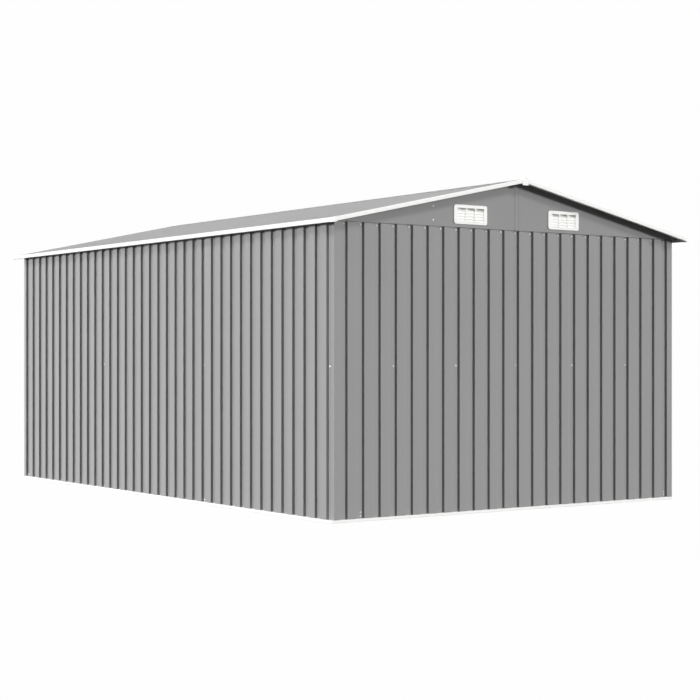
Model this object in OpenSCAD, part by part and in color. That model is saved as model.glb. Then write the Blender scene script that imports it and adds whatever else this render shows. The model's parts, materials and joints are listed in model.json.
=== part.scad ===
// Ribbed-sheet apex storage shed: a low-pitch gabled kit shed of folded steel sheet.
// Millimetres, +Z up. The origin is on the ground at the middle of the roof's plan.
// X runs across the gables, Y along the side walls. The plain gable faces -Y and the
// door gable faces +Y; the two long walls, and the two gables, are half-turn copies.

/* [Walls] */
// Width across the gable walls, over the ribs
wall_width = 2452; // [2050:1:3600]
// Length of the side walls, over the ribs
wall_length = 3756; // [1800:1:5200]
// Height of the wall sheets, from the base rail to the gable joint
wall_height = 1521; // [1000:1:2200]

/* [Ribbed wall sheet] */
// Distance from one rib to the next
rib_pitch = 105; // [80:1:150]
// Width of a raised rib
rib_width = 58; // [30:1:70]
// Depth of the valleys behind the ribs' faces
rib_depth = 15; // [6:0.5:25]
// Run of each rib's sloping flank
rib_flank = 3; // [1:0.5:8]
// Thickness of the folded sheets
sheet_t = 1; // [0.6:0.1:2]
// Face of the gable beside the recessed corner fold
corner_face = 36; // [20:1:60]
// Least face kept beside the square corner fold
least_end_face = 20; // [10:1:40]

/* [Base rail] */
// Height of the base rail
rail_height = 15; // [10:1:60]
// Depth of the base rail, into the shed
rail_depth = 40; // [25:1:80]
// Height of the flange that the wall sheets are screwed to
rail_flange = 30; // [15:1:60]
// Thickness of the rails and beams
rail_t = 1.2; // [1:0.1:3]
// Distance between the ground anchors across the shed
anchor_spacing = 1200; // [600:1:1800]
// Distance of the ground anchors from the gable's face
anchor_inset = 24; // [20:1:30]
// Radius of a ground anchor's hole
anchor_r = 4.5; // [3:0.5:7]

/* [Roof] */
// Pitch of the roof, in degrees
roof_pitch = 12; // [10:0.5:30]
// Overhang beyond the side walls
eave_overhang = 48; // [30:1:120]
// Overhang beyond the gables
gable_overhang = 85; // [40:1:200]
// Height of the roof ribs
roof_rib_height = 8; // [4:0.5:12]
// Width of a roof rib
roof_rib_width = 47; // [20:1:70]
// Height of the roof ribs over the wall sheets, at the side walls' faces
eave_rise = 15.5; // [14:0.5:40]
// Width of the ridge cap, each way from the ridge
ridge_cap_half = 62; // [40:1:120]

/* [Trims] */
// Height of the eave and rake trims
trim_height = 22; // [18:1:60]
// Lip that turns in at a trim's top and bottom
trim_lip = 14; // [8:1:25]
// Thickness of the trims
trim_t = 1; // [0.8:0.1:2]
// Length of a corner cap along each trim
corner_cap = 27; // [20:1:60]
// Thickness of the corner and peak caps
cap_t = 1.2; // [0.8:0.1:3]
// Width of the peak cap
peak_cap_width = 43; // [30:1:60]
// Drop of the peak cap below the rake trims
peak_cap_drop = 14; // [5:1:30]
// Width of the crest on the peak cap
crest_width = 24; // [10:1:28]
// Height of the crest over the ridge cap
crest_height = 11; // [4:1:20]

/* [Vents] */
// Width of a vent
vent_width = 231; // [120:1:300]
// Height of a vent
vent_height = 104; // [60:1:120]
// Thickness of a vent's frame
vent_t = 5; // [3:0.5:10]
// Height of a vent above the gable joint
vent_rise = 18; // [10:1:40]
// Distance from the middle of the gables to the vent beside the lower panel
vent_left = 319; // [200:1:500]
// Distance from the middle of the gables to the vent beside the lapping panel
vent_right = 354; // [200:1:500]
// Overlap of the two gable panels
panel_lap = 27; // [10:1:50]
// Start of the overlap, beside the middle of the gable
lap_offset = 3; // [0:1:20]

/* [Door] */
// Width of the doorway, in ribs of the wall that it replaces
door_ribs = 12; // [8:1:14]
// Width of a door jamb
jamb_width = 30; // [20:1:60]
// Height of the door track
track_height = 45; // [30:1:80]

/* [Hidden] */

sheet_grey = "#a7a7a7";
gable_grey = "#9a9a9a";
roof_grey = "#b2b2b2";
trim_white = "#f2f2f2";
steel = "#8f9499";

// Outer faces of the walls and of the roof's trims
half_w = wall_width / 2;
half_l = wall_length / 2;
roof_half_w = half_w + eave_overhang;
roof_half_l = half_l + gable_overhang;

// Wall sheets: the valley between two ribs, and where each wall's first rib starts
valley = rib_pitch - rib_width;
side_first = valley;
gable_first = rib_depth + corner_face + valley;
side_ribs = floor((wall_length - side_first - least_end_face) / rib_pitch) + 1;
gable_ribs = floor((wall_width - gable_first - least_end_face) / rib_pitch) + 1;
sheet_back = rib_depth + sheet_t;       // depth of a valley's inner face
wall_top = rail_height + wall_height;
side_sheets = 3;
gable_sheets = 2;

// Roof: the plane that the rib tops lie in, and the underside of the pans below it
rib_top_ridge = wall_top + eave_rise + tan(roof_pitch) * half_w;
pan_drop = (roof_rib_height + sheet_t) / cos(roof_pitch);
trim_rise = trim_t / cos(roof_pitch);
roof_edge = roof_half_l - trim_t;       // end of the roof sheets, inside the rake trims
roof_foot = roof_half_w - trim_t;       // foot of the roof sheets, inside the eave trims
roof_pitches = floor((2 * roof_edge - roof_rib_width) / rib_pitch);
roof_sheets = 3;
ridge_gap = 8;                          // from the ridge to the top of a roof sheet
rail_leg = 40;                          // leg of the eave and gable rails, down the wall
rail_shelf = 30;                        // shelf of the gable rail
eave_flange = 34;                       // sloping flange of the eave rail
gable_inner = half_l - sheet_t;         // inner face of the lower gable panel
lap_end = panel_lap - lap_offset;

// Vents: their slots, and the hole in the gable panel behind them
vent_border = 12;
vent_columns = 3;
vent_rows = 6;
vent_bar = 8;
vent_louvre = 7;
vent_corner = 6;

// Door
door_first = floor((gable_ribs - 1 - door_ribs) / 2);
door_left = rib_line(gable_first, door_first) - valley / 2 - half_w;
door_right = door_left + door_ribs * rib_pitch;
door_play = 0.5;                        // between the leaves, and under the track
leaf_width = (door_right - door_left) / 2 - jamb_width - door_play;
leaf_inset = 1.5;
leaf_depth = 12;
leaf_ribs = floor((leaf_width - 2 * least_end_face - valley) / rib_pitch);
leaf_face = (leaf_width - leaf_ribs * rib_pitch - valley) / 2;
handle = [16, 14, 160];                 // width, stand-off and length of a pull handle
handle_inset = 24;
handle_z = 700;

// Roof beams
purlin_width = 40;
purlin_depth = 40;
beam_half = 30;
beam_depth = 70;

// Height of the plane of the rib tops at a distance x from the ridge
function rib_top(x) = rib_top_ridge - tan(roof_pitch) * abs(x);
function pan_under(x) = rib_top(x) - pan_drop;
function trim_top(x) = rib_top(x) + trim_rise;
function trim_foot(x) = trim_top(x) - trim_height;

// A path's points moved sideways by d, mitred at the bends: to the left when d > 0
function along(a, b) = (b - a) / norm(b - a);
function beside(v) = [-v[1], v[0]];
function mitre(p, i) = let (n = len(p) - 1,
    a = beside(along(p[max(i - 1, 0)], p[max(i, 1)])),
    b = beside(along(p[min(i, n - 1)], p[min(i + 1, n)]))) (a + b) / (1 + a * b);
function moved(p, d) = [for (i = [0:len(p) - 1]) p[i] + d * mitre(p, i)];
function reversed(p) = [for (i = [len(p) - 1:-1:0]) p[i]];
// The outline of a folded strip of thickness d, whose one face follows the path
function strip(p, d) = concat(p, reversed(moved(p, d)));

// One rib of a wall: from the valley out to the face, along it and back, as [along, depth]
function rib_line(first, j) = first + j * rib_pitch;
function rib(first, j) = let (u = rib_line(first, j), h = rib_flank / 2)
    [[u - h, rib_depth], [u + h, 0], [u + rib_width - h, 0], [u + rib_width + h, rib_depth]];
function sheet_start(first, j) = [rib_line(first, j) - valley / 2, rib_depth];
function sheet_end(first, j) = [rib_line(first, j) + rib_width + valley / 2, rib_depth];
function ribs(first, j0, j1) = concat([sheet_start(first, j0)],
    [for (j = [j0:j1]) each rib(first, j)], [sheet_end(first, j1)]);

// Wall coordinates [along, depth] to plan, for the gable, the left and the right wall
function on_gable(p) = [for (q = p) [q[0] - half_w, q[1] - half_l]];
function on_left(p) = [for (q = p) [q[1] - half_w, q[0] - half_l]];
function on_right(p) = [for (q = p) [half_w - q[1], half_l - q[0]]];

module half_turn() { rotate([0, 0, 180]) children(); }
module mirrored() { mirror([1, 0, 0]) children(); }

// A section in X and Z carried along Y from y0 to y1
module carried(y0, y1) {
    translate([0, y1, 0]) rotate([90, 0, 0]) linear_extrude(y1 - y0) children();
}

// A plan outline standing from z0 to z1
module standing(z0, z1) { translate([0, 0, z0]) linear_extrude(z1 - z0) children(); }

// The frame of the left roof slope: X up the slope, Z square to it, 0 at the foot
module on_slope() {
    translate([-roof_foot, 0, rib_top(roof_foot)]) rotate([0, -roof_pitch, 0]) children();
}

// ---- Base rails: a channel under the sheets, with a flange behind them ----
module base_section() {
    polygon(strip([[rail_depth, 0], [0, 0], [0, rail_height], [sheet_back, rail_height]], -rail_t));
}

module base_flange(x0, x1, y) {
    translate([x0, y, rail_height - rail_t]) cube([x1 - x0, rail_t, rail_flange + rail_t]);
}

module anchor_holes() {
    for (x = [-1, 1] * anchor_spacing / 2)
        translate([x, anchor_inset - half_l, -1]) cylinder(h = rail_t + 2, r = anchor_r, $fn = 48);
}

// The channel across a gable; its flange stops at the doorway when there is one
module gable_base(door) {
    reach = half_w - sheet_back - rail_t;
    flange_y = sheet_back - half_l;
    difference() {
        union() {
            translate([-half_w, -half_l, 0]) rotate([90, 0, 90])
                linear_extrude(wall_width) base_section();
            if (door) {
                base_flange(-reach, door_left, flange_y);
                base_flange(door_right, reach, flange_y);
            } else {
                base_flange(-reach, reach, flange_y);
            }
        }
        anchor_holes();
    }
}

module base_rail_left() {
    reach = half_l - rail_depth;
    color(trim_white) {
        translate([-half_w, 0, 0]) carried(-reach, reach) base_section();
        translate([-half_w + sheet_back, -reach, rail_height - rail_t])
            cube([rail_t, 2 * reach, rail_flange + rail_t]);
    }
}

module base_rail_front() { color(trim_white) gable_base(false); }
module base_rail_back() { color(trim_white) half_turn() gable_base(true); }
module base_rail_right() { half_turn() base_rail_left(); }

// ---- Wall sheets ----
module wall_sheet(outline) { color(sheet_grey) standing(rail_height, wall_top) polygon(outline); }

// The first rib of sheet k when the ribs from j0 to j1 are shared between count sheets
function first_rib(k, count, j0, j1) = j0 + round(k * (j1 + 1 - j0) / count);

module left_wall_sheet(k) {
    j0 = first_rib(k, side_sheets, 1, side_ribs - 2);
    j1 = first_rib(k + 1, side_sheets, 1, side_ribs - 2) - 1;
    wall_sheet(strip(on_left(ribs(side_first, j0, j1)), -sheet_t));
}

module gable_sheet(j0, j1) { wall_sheet(strip(on_gable(ribs(gable_first, j0, j1)), sheet_t)); }

module front_wall_sheet(k) {
    gable_sheet(first_rib(k, gable_sheets, 0, gable_ribs - 2),
        first_rib(k + 1, gable_sheets, 0, gable_ribs - 2) - 1);
}

// The fold where the side wall's valley meets the gable's face
module recessed_corner() {
    fold = rib_depth + corner_face;
    wall_sheet(strip(concat(
        on_left(concat([sheet_end(side_first, 0)], reversed(rib(side_first, 0)), [[0, rib_depth]])),
        on_gable([[fold - rib_flank / 2, 0], [fold + rib_flank / 2, rib_depth],
            [fold + valley / 2, rib_depth]])), sheet_t));
}

// The fold where two rib faces meet
module square_corner() {
    gable_rib = rib(gable_first, gable_ribs - 1);
    side_rib = rib(side_first, side_ribs - 1);
    wall_sheet(strip(concat(
        on_gable([sheet_start(gable_first, gable_ribs - 1), gable_rib[0], gable_rib[1], [wall_width, 0]]),
        on_right([side_rib[1], side_rib[0], sheet_start(side_first, side_ribs - 1)])), sheet_t));
}

// ---- Door: two plain ribbed leaves in a frame of two jambs and a track ----
module jamb(x) {
    standing(rail_height, wall_top - track_height) translate([x, -half_l])
        polygon(strip([[0, sheet_back], [0, 0], [jamb_width, 0], [jamb_width, sheet_back]], rail_t));
}

module door_frame() {
    color(trim_white) half_turn() {
        jamb(door_left);
        jamb(door_right - jamb_width);
        translate([door_left, -half_l, wall_top - track_height]) rotate([90, 0, 90])
            linear_extrude(door_right - door_left) polygon(strip([[sheet_back, 0], [0, 0],
                [0, track_height], [sheet_back, track_height]], -rail_t));
    }
}

function leaf_rib(j) = let (u = leaf_face + j * rib_pitch, h = rib_flank / 2)
    [[u - h, 0], [u + h, leaf_depth], [u + valley - h, leaf_depth], [u + valley + h, 0]];

// One leaf from its edge at x, with its handle at the distance pull from that edge
module leaf(x, pull) {
    color(sheet_grey) standing(rail_height, wall_top - track_height - door_play)
        translate([x, leaf_inset - half_l]) polygon(strip(concat([[0, leaf_depth], [0, 0]],
            [for (j = [0:leaf_ribs]) each leaf_rib(j)],
            [[leaf_width, 0], [leaf_width, leaf_depth]]), sheet_t));
    color(trim_white) translate([x + pull - handle[0] / 2, leaf_inset - half_l - handle[1], handle_z])
        cube(handle);
}

module door_leaf_right() { half_turn() leaf(door_left + jamb_width, leaf_width - handle_inset); }
module door_leaf_left() {
    half_turn() leaf(door_right - jamb_width - leaf_width, handle_inset);
}

// ---- Gables: two flat panels that lap at the middle, with a vent in each ----
module vent_hole(x, y) {
    translate([x - vent_width / 2 + vent_border, y - 2 * sheet_t, wall_top + vent_rise + vent_border])
        cube([vent_width - 2 * vent_border, 4 * sheet_t, vent_height - 2 * vent_border]);
}

// A panel from x0 to x1 in front of y, with a flange from f0 to f1 turned in at its foot
module gable_panel(x0, x1, f0, f1, y, vent_x) {
    top = x0 * x1 < 0 ? [[x1, pan_under(x1)], [0, pan_under(0)], [x0, pan_under(x0)]]
        : [[x1, pan_under(x1)], [x0, pan_under(x0)]];
    color(gable_grey) difference() {
        union() {
            carried(y, y + sheet_t) polygon(concat([[x0, wall_top], [x1, wall_top]], top));
            translate([f0, y, wall_top]) cube([f1 - f0, rail_shelf, sheet_t]);
        }
        vent_hole(vent_x, y);
    }
}

flange_reach = half_w - sheet_back - rail_t - eave_flange - sheet_t;
module lower_panel() {
    gable_panel(rib_depth - half_w, lap_end, -flange_reach, lap_end, -half_l, -vent_left);
}

module lapping_panel() {
    gable_panel(-lap_offset, half_w, lap_end + sheet_t, flange_reach, -half_l - sheet_t, vent_right);
}

// A louvred vent whose back lies at y: a frame with columns of slots
module vent(x, y) {
    pane = (vent_width - 2 * vent_border - (vent_columns - 1) * vent_bar) / vent_columns;
    row = (vent_height - 2 * vent_border) / vent_rows;
    color(trim_white) translate([x - vent_width / 2, 0, wall_top + vent_rise])
        carried(y - vent_t, y) difference() {
            translate([vent_corner, 0]) square([vent_width - 2 * vent_corner, vent_height]);
            for (c = [0:vent_columns - 1], r = [0:vent_rows - 1])
                translate([vent_border + c * (pane + vent_bar), vent_border + (r + 0.5) * row - vent_louvre / 2])
                    square([pane, vent_louvre]);
        }
    color(trim_white) for (side = [0, 1])
        translate([x - vent_width / 2 + side * (vent_width - vent_corner), 0,
            wall_top + vent_rise + vent_corner])
            carried(y - vent_t, y) square([vent_corner, vent_height - 2 * vent_corner]);
}

module vent_pair() {
    vent(-vent_left, -half_l);
    vent(vent_right, -half_l - sheet_t);
}

// ---- Rails on the wall tops ----
module eave_rail() {
    inner = sheet_back + rail_t;
    foot = rail_height + wall_height;
    x = function(v) v - half_w;
    carried(-gable_inner, gable_inner) union() {
        polygon(strip([[x(0), foot], [x(sheet_back), foot], [x(sheet_back), foot - rail_leg]], rail_t));
        polygon(strip([[x(sheet_back), foot], [x(sheet_back), pan_under(x(sheet_back))],
            [x(inner + eave_flange), pan_under(x(inner + eave_flange))]], -rail_t));
    }
}

module eave_rails() {
    color(steel) {
        eave_rail();
        half_turn() eave_rail();
    }
}

module gable_rail() {
    reach = half_w - sheet_back - rail_t;
    translate([-reach, -half_l, 0]) rotate([90, 0, 90]) linear_extrude(2 * reach)
        polygon(strip([[sheet_back, wall_top - rail_leg], [sheet_back, wall_top],
            [sheet_back + rail_shelf, wall_top]], -rail_t));
}

module gable_rails() {
    color(steel) {
        gable_rail();
        half_turn() gable_rail();
    }
}

// ---- Roof beams, from gable to gable ----
module purlin() {
    mid = roof_foot / cos(roof_pitch) / 2;
    under = -roof_rib_height - sheet_t;
    on_slope() carried(-gable_inner, gable_inner)
        polygon(strip([[mid - purlin_width / 2, under - purlin_depth], [mid - purlin_width / 2, under],
            [mid + purlin_width / 2, under], [mid + purlin_width / 2, under - purlin_depth]], -rail_t));
}

module purlins() {
    color(steel) {
        purlin();
        mirrored() purlin();
    }
}

module ridge_beam() {
    foot = pan_under(0) - beam_depth;
    color(steel) carried(-gable_inner, gable_inner)
        polygon(strip([[-beam_half, foot], [-beam_half, pan_under(beam_half)], [0, pan_under(0)],
            [beam_half, pan_under(beam_half)], [beam_half, foot]], -rail_t));
}

// ---- Roof sheets: ribs run up the slope, and neighbours meet on a rib ----
function roof_line(k) = (k - roof_pitches / 2) * rib_pitch;
function roof_pan(k) = let (h = rib_flank / 2, a = roof_line(k) + roof_rib_width / 2,
    b = roof_line(k + 1) - roof_rib_width / 2)
    [[a - h, 0], [a + h, -roof_rib_height], [b - h, -roof_rib_height], [b + h, 0]];

module roof_sheet(i) {
    k0 = first_rib(i, roof_sheets, 0, roof_pitches - 1);
    k1 = first_rib(i + 1, roof_sheets, 0, roof_pitches - 1);
    start = i == 0 ? -roof_edge : roof_line(k0);
    end = i == roof_sheets - 1 ? roof_edge : roof_line(k1);
    length = (roof_foot - ridge_gap) / cos(roof_pitch);
    color(roof_grey) on_slope() rotate([90, 0, 90]) linear_extrude(length)
        polygon(strip(concat([[start, 0]], [for (k = [k0:k1 - 1]) each roof_pan(k)], [[end, 0]]),
            -sheet_t));
}

module roof_sheet_left(i) { roof_sheet(i); }
module roof_sheet_right(i) { mirrored() roof_sheet(i); }

module ridge_cap() {
    w = ridge_cap_half;
    color(roof_grey) carried(-roof_edge + trim_lip, roof_edge - trim_lip)
        polygon(strip([[-w, rib_top(w)], [0, rib_top(0)], [w, rib_top(w)]], trim_t));
}

// ---- Trims: channels that close the roof's edges ----
module eave_trim() {
    x = roof_half_w;
    color(trim_white) carried(-roof_edge, roof_edge)
        polygon(strip([[trim_lip - x, trim_foot(x)], [-x, trim_foot(x)], [-x, trim_top(x)],
            [trim_lip - x, trim_top(x - trim_lip)]], -trim_t));
}

// A band of the rake between two heights over the rib tops, from x0 up to x1
module rake_band(x0, x1, low, high) {
    polygon([[x0, rib_top(x0) + low], [x1, rib_top(x1) + low], [x1, rib_top(x1) + high],
        [x0, rib_top(x0) + high]]);
}

module rake_trim() {
    lips = trim_lip - roof_half_w;
    foot = trim_rise - trim_height;
    color(trim_white) union() {
        carried(-roof_half_l, -roof_edge) rake_band(-roof_half_w, 0, foot, trim_rise);
        carried(-roof_edge, trim_lip - roof_edge) rake_band(lips, 0, 0, trim_rise);
        carried(-roof_edge, trim_lip - roof_edge) rake_band(lips, 0, foot, foot + trim_rise);
    }
}

// A cap over the front left corner of the trims
module corner_cap_piece() {
    x0 = -roof_half_w - cap_t;
    x1 = x0 + corner_cap;
    y0 = -roof_half_l - cap_t;
    y1 = y0 + corner_cap;
    foot = trim_foot(roof_half_w);
    lip = trim_lip - roof_half_w;
    union() {
        carried(y0, y1) rake_band(x0, x1, trim_rise, trim_rise + cap_t);
        carried(y0, -roof_half_l) polygon([[x0, foot - cap_t], [lip, foot - cap_t],
            [x1, trim_foot(x1) - cap_t], [x1, trim_top(x1) + cap_t], [x0, trim_top(x0) + cap_t]]);
        translate([x0, y0, foot - cap_t]) cube([cap_t, corner_cap, trim_height + cap_t]);
        translate([x0, y0, foot - cap_t]) cube([lip - x0, corner_cap, cap_t]);
    }
}

// The cap over the front peak: a face, a lid on the trims and a crest over the ridge cap's end
module peak_cap_piece() {
    w = peak_cap_width / 2;
    c = crest_width / 2;
    foot = trim_foot(0) - peak_cap_drop;
    union() {
        carried(-roof_half_l - cap_t, -roof_half_l)
            polygon([[-w, foot], [w, foot], [w, trim_top(w) + cap_t], [0, trim_top(0) + cap_t],
                [-w, trim_top(w) + cap_t]]);
        carried(-roof_half_l, trim_lip - roof_edge)
            polygon([[-w, trim_top(w)], [0, trim_top(0)], [w, trim_top(w)], [w, trim_top(w) + cap_t],
                [0, trim_top(0) + cap_t], [-w, trim_top(w) + cap_t]]);
        carried(-roof_half_l - cap_t, 2 * trim_lip - roof_edge)
            polygon([[-c, trim_top(c)], [0, trim_top(0)], [c, trim_top(c)], [c, trim_top(c) + crest_height],
                [0, trim_top(0) + crest_height], [-c, trim_top(c) + crest_height]]);
    }
}

module trim_caps() {
    color(trim_white) for (turn = [0, 180]) rotate([0, 0, turn]) {
        corner_cap_piece();
        mirrored() corner_cap_piece();
        peak_cap_piece();
    }
}

base_rail_front();
base_rail_back();
base_rail_left();
base_rail_right();
recessed_corner();  // corner_panel_front_left
half_turn() recessed_corner();  // corner_panel_back_right
square_corner();  // corner_panel_front_right
half_turn() square_corner();  // corner_panel_back_left
for (k = [0:side_sheets - 1]) {
    left_wall_sheet(k);
    half_turn() left_wall_sheet(k);
}
front_wall_sheet(0);  // front_wall_sheet_left
front_wall_sheet(1);  // front_wall_sheet_right
half_turn() gable_sheet(0, door_first - 1);  // back_wall_sheet_right
half_turn() gable_sheet(door_first + door_ribs, gable_ribs - 2);  // back_wall_sheet_left
door_frame();
door_leaf_left();
door_leaf_right();
lower_panel();  // gable_panel_front_left
lapping_panel();  // gable_panel_front_right
half_turn() lower_panel();  // gable_panel_back_right
half_turn() lapping_panel();  // gable_panel_back_left
vent_pair();  // front_vents
half_turn() vent_pair();  // back_vents
eave_rails();
gable_rails();
purlins();
ridge_beam();
for (i = [0:roof_sheets - 1]) {
    roof_sheet_left(i);
    roof_sheet_right(i);
}
ridge_cap();
eave_trim();  // eave_trim_left
mirrored() eave_trim();  // eave_trim_right
rake_trim();  // rake_trim_front_left
mirrored() rake_trim();  // rake_trim_front_right
half_turn() rake_trim();  // rake_trim_back_right
half_turn() mirrored() rake_trim();  // rake_trim_back_left
trim_caps();
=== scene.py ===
"""The looks of a ribbed-sheet apex storage shed.

Every folded sheet is a line with rounded bends, given its thickness and carried along a
straight run. Sizes are metres in the frame's own axes: X across the gables, Y along the side
walls and Z up, with the plain gable at -Y and the door gable at +Y.
"""

import json
import math

import bmesh
import bpy
import numpy as np
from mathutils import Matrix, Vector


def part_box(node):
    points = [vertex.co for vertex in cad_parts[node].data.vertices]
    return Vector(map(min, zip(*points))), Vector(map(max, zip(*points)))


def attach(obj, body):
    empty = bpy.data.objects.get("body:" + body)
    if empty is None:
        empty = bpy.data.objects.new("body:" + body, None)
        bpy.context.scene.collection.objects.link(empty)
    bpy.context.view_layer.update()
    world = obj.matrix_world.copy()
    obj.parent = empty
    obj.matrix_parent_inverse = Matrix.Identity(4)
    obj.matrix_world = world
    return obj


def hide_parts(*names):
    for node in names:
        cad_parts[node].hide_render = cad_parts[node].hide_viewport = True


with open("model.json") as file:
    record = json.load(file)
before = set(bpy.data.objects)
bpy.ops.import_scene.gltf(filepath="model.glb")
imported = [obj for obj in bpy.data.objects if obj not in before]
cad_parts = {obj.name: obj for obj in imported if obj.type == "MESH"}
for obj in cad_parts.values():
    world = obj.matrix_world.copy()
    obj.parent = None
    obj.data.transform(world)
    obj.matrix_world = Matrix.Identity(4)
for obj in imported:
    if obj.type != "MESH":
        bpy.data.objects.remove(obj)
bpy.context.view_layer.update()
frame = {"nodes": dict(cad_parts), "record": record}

bl_info = {
    "name": "Ribbed steel storage shed",
    "version": (1, 0, 0),
    "blender": (4, 5, 0),
    "location": "View3D > Sidebar > Shed",
    "description": "Builds the sheets, trims, vents, screws and finishes of a storage shed",
    "category": "Object",
}


# ---- Places, from the frame ----


def low(node):
    """The node's lowest corner."""
    return np.array(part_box(node)[0])


def high(node):
    """The node's highest corner."""
    return np.array(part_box(node)[1])


HALF_W = high("base_rail_front")[0]
HALF_L = -low("base_rail_front")[1]
WALL_LOW = low("front_wall_sheet_left")[2]
WALL_TOP = high("front_wall_sheet_left")[2]
ROOF_HALF_W = -low("eave_trim_left")[0]
ROOF_HALF_L = -low("rake_trim_front_left")[1]
RIDGE_TOP = high("ridge_cap")[2]


# ---- Settings ----


def length_property(name, description, default):
    """A size in metres."""
    return bpy.props.FloatProperty(name=name, description=description, default=default,
                                   unit="LENGTH", precision=4)


def colour_property(name, description, default):
    """A colour as an sRGB hex value."""
    return bpy.props.StringProperty(name=name, description=description + ", as sRGB hex", default=default)


class WallSettings(bpy.types.PropertyGroup):
    """The ribbed wall sheets and their rails."""

    pitch: length_property("Rib pitch", "From one rib to the next", 0.105)
    rib: length_property("Rib width", "Width of a raised rib", 0.058)
    depth: length_property("Rib depth", "From the ribs' faces back to the valleys", 0.015)
    flank: length_property("Rib flank", "Run of a rib's sloping flank", 0.003)
    sheet: length_property("Sheet thickness", "Thickness of the folded sheets", 0.001)
    bend: length_property("Bend radius", "Inner radius of the rolled bends", 0.0012)
    corner: length_property("Corner face", "Gable face beside the recessed corner fold", 0.036)
    lap: length_property("Side lap", "How far a sheet reaches over its neighbour", 0.012)
    reveal: length_property("Joint reveal", "Gap between the wall sheets and the gable panels", 0.0026)
    seam: length_property("Seam bead", "Width of the bead pressed beside the gable panels' lap", 0.0016)
    end_face: length_property("End face", "Least flat face at the end of a wall", 0.020)
    rail: length_property("Rail thickness", "Thickness of the base rails", 0.0012)
    flange: length_property("Rail flange", "Height of the flange behind the wall sheets", 0.030)
    lap_step: bpy.props.FloatProperty(name="Lap step", default=1.15, min=1,
                                      description="Step of a lapping edge, in sheet thicknesses")


class RoofSettings(bpy.types.PropertyGroup):
    """The roof sheets and their trims."""

    pitch: bpy.props.FloatProperty(name="Roof pitch", description="Slope of the roof",
                                   default=math.radians(12), subtype="ANGLE", unit="ROTATION")
    rib: length_property("Roof rib width", "Width of a roof rib", 0.047)
    depth: length_property("Roof rib height", "Height of the roof ribs", 0.008)
    trim: length_property("Trim thickness", "Thickness of the eave and rake trims", 0.001)
    lip: length_property("Trim lip", "Lip that turns in at a trim's top and bottom", 0.014)
    trim_bend: length_property("Trim bend", "Inner radius of the trims' bends", 0.0018)
    ridge_bend: length_property("Ridge bend", "Inner radius of the ridge cap's bend", 0.004)
    spare: length_property("Edge spare", "How far past a sheet's ends its last ribs may have their middles",
                           0.06)
    ease: length_property("Cap edge", "Rounding of the moulded caps' edges", 0.0006)


class VentSettings(bpy.types.PropertyGroup):
    """The louvred gable vents."""

    side: length_property("Side border", "Width of the frame beside the louvres", 0.0235)
    head: length_property("Head border", "Height of the frame over the louvres", 0.016)
    foot: length_property("Foot border", "Height of the frame under the louvres", 0.012)
    bar: length_property("Bar", "Width of a bar between two columns of louvres", 0.0075)
    corner: length_property("Corner radius", "Radius of the frame's corners", 0.013)
    width: length_property("Width", "Width of a vent", 0.231)
    recess: length_property("Recess", "How far a louvre's slot reaches behind the frame's face", 0.0065)
    top_recess: length_property("Top recess", "Depth of the open slot over the topmost louvre", 0.030)
    rim: length_property("Rim", "How far the frame's outer edge falls back", 0.0015)
    columns: bpy.props.IntProperty(name="Columns", description="Columns of louvres", default=3, min=1)
    rows: bpy.props.IntProperty(name="Rows", description="Louvres in a column", default=5, min=1)


class DoorSettings(bpy.types.PropertyGroup):
    """The double door in the far gable."""

    jamb: length_property("Jamb", "Width of a door jamb", 0.030)
    track: length_property("Track", "Height of the door track", 0.045)
    depth: length_property("Rib depth", "Depth of the leaves' valleys", 0.012)
    inset: length_property("Inset", "How far the leaves stand behind the wall's face", 0.0015)
    handle: length_property("Handle length", "Height of a pull handle", 0.160)
    handle_width: length_property("Handle width", "Width of a handle's bar", 0.016)
    handle_bar: length_property("Handle bar", "Thickness of a handle's bar", 0.004)
    handle_bend: length_property("Handle bend", "Inner radius of a handle's bends", 0.005)
    handle_inset: length_property("Handle inset", "From a leaf's meeting edge to its handle", 0.024)
    handle_z: length_property("Handle foot", "Height of a handle's lower end", 0.700)


class ScrewSettings(bpy.types.PropertyGroup):
    """The screws that hold the sheets, and the ground anchors."""

    head: length_property("Head radius", "Radius of a screw's pan head", 0.0036)
    washer: length_property("Washer radius", "Radius of the sealing washer", 0.0050)
    height: length_property("Head height", "Height of a head over its washer", 0.0020)
    washer_edge: length_property("Washer edge", "Height of a washer's outer edge", 0.0008)
    washer_top: length_property("Washer top", "Height of a washer beside the head", 0.0011)
    side: length_property("Side distance", "From a valley's screw to the next rib's flank", 0.012)
    edge: length_property("Edge distance", "From a sheet's end to its screws", 0.012)
    pair: length_property("Pair distance", "Between the two screws at a lap's foot", 0.018)
    middle: length_property("Middle row", "Height of the screws halfway up the laps", 0.795)
    lap_first: bpy.props.IntProperty(name="First lap", default=3, min=0,
                                     description="First gable valley with a middle screw")
    lap_every: bpy.props.IntProperty(name="Lap spacing", default=4, min=1,
                                     description="Valleys from one middle screw to the next")
    panel: length_property("Panel screws", "From the gable's corner to its panel's two screws", 0.6535)
    panel_low: length_property("Lower panel screw", "Height over the wall", 0.0317)
    panel_high: length_property("Upper panel screw", "Height over the wall", 0.1057)
    roof_low: length_property("Eave row", "From the eave to the lowest row of roof screws", 0.075)
    roof_middle: length_property("Purlin row", "From the eave to the middle row", 0.62)
    roof_high: length_property("Ridge row", "From the eave to the upper row", 1.20)
    anchor_x: length_property("Anchor place", "From the middle line to a ground anchor", 0.600)
    anchor_inset: length_property("Anchor inset", "From a gable's face to its ground anchors", 0.024)
    anchor_head: length_property("Anchor head", "Radius of a ground anchor's head", 0.0065)
    anchor_washer: length_property("Anchor washer", "Radius of a ground anchor's washer", 0.010)
    anchor_height: length_property("Anchor height", "Height of a ground anchor's head", 0.006)


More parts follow.
